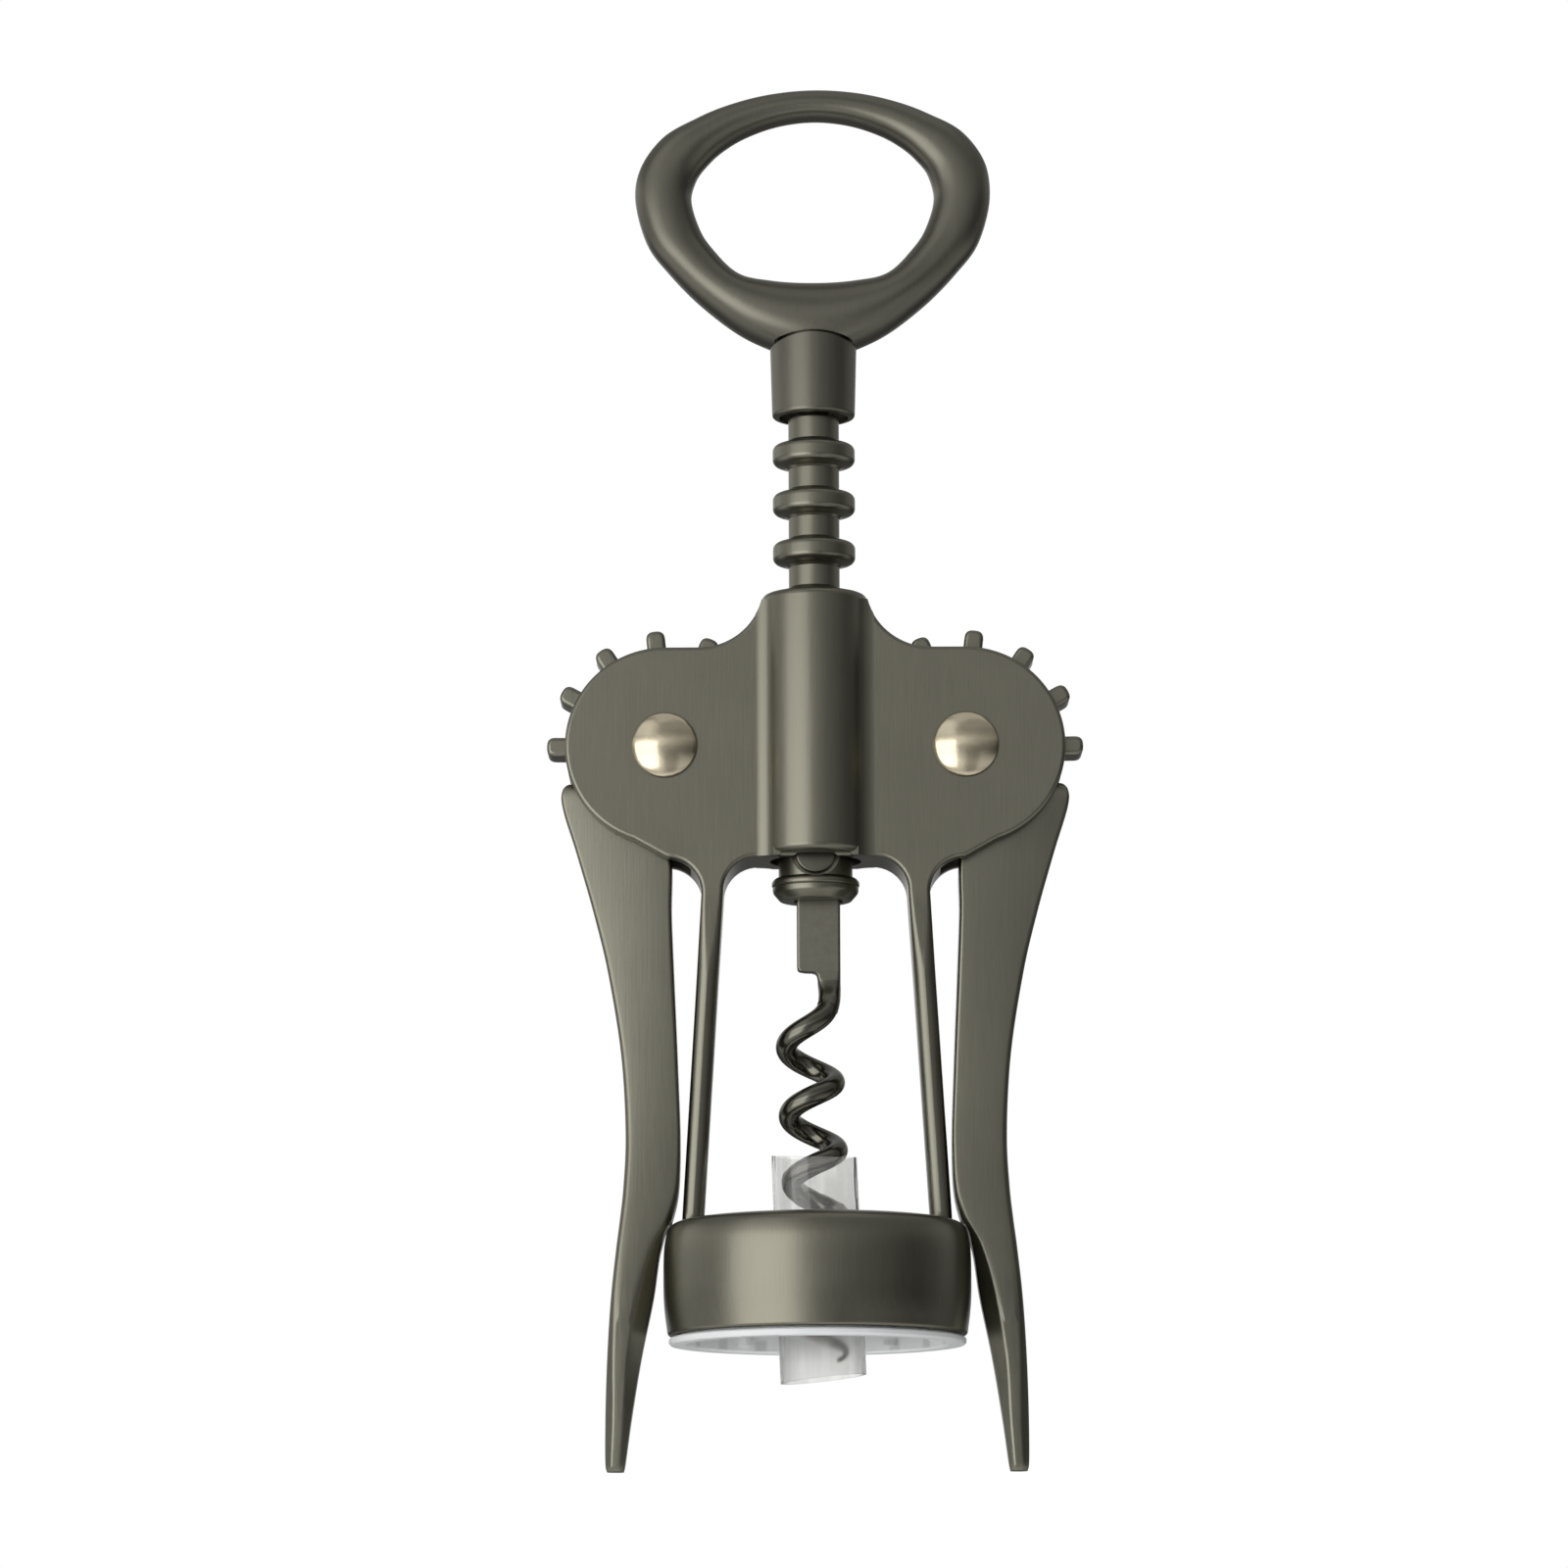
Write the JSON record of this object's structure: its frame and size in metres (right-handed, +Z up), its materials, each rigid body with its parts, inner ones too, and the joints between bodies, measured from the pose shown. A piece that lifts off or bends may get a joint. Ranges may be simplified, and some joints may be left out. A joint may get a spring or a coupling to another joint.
{
  "type": "wing corkscrew",
  "caption": "Wing corkscrew: geared levers meshing with a ringed rack, a leaning helical worm, a bell that seats over a bottle, and a turning handle with a cap-lifter opening.",
  "frame": {"origin": "on the screw axis, in the plane under the bell's inner shelf where a bottle's lip seats", "axes": "+Z up along the screw axis towards the handle, X from the left lever to the right lever, the front faces -Y"},
  "size_m": [0.0706, 0.0402, 0.1847],
  "materials": {
    "cast_metal": "die-cast body with a satin brushed nickel plating",
    "dark_steel": "dark glossy wire",
    "rivet_steel": "polished domed head",
    "frosted_plastic": "translucent, bluish white",
    "clear_plastic": "thin clear film"
  },
  "bodies": {
    "frame": {"frame": "cast_metal", "bell_liner": "frosted_plastic", "rivet_left": "rivet_steel", "rivet_right": "rivet_steel", "rivet_cap_left": "rivet_steel", "rivet_cap_right": "rivet_steel"},
    "rack": {"rack_sleeve": "cast_metal"},
    "screw": {"handle": "cast_metal", "spindle": "cast_metal", "worm": "dark_steel", "worm_pin": "dark_steel"},
    "lever_left": {"lever_left": "cast_metal"},
    "lever_right": {"lever_right": "cast_metal"},
    "tip_sleeve": {"tip_sleeve": "clear_plastic"}
  },
  "joints": [
    {"name": "rack_slide", "type": "slide", "parent": "frame", "child": "rack", "axis": [0, 0, 1], "range_m": [-0.033, 0]},
    {"name": "handle_turn", "type": "hinge", "parent": "rack", "child": "screw", "pos_m": [0, 0, 0.1], "axis": [0, 0, 1], "continuous": true},
    {"name": "lever_left_pivot", "type": "hinge", "parent": "frame", "child": "lever_left", "pos_m": [-0.0195, 0, 0.06585], "axis": [0, 1, 0], "range_deg": [0, 138]},
    {"name": "lever_right_pivot", "type": "hinge", "parent": "frame", "child": "lever_right", "pos_m": [0.0195, 0, 0.06585], "axis": [0, 1, 0], "range_deg": [-138, 0]},
    {"name": "sleeve_pull", "type": "slide", "parent": "screw", "child": "tip_sleeve", "axis": [0.0403, 0, -0.9992], "range_m": [0, 0.03]}
  ],
  "couplings": [
    {"joint": "lever_left_pivot", "follows": "rack_slide", "rad_per_m": -72.789},
    {"joint": "lever_right_pivot", "follows": "rack_slide", "rad_per_m": 72.789}
  ]
}
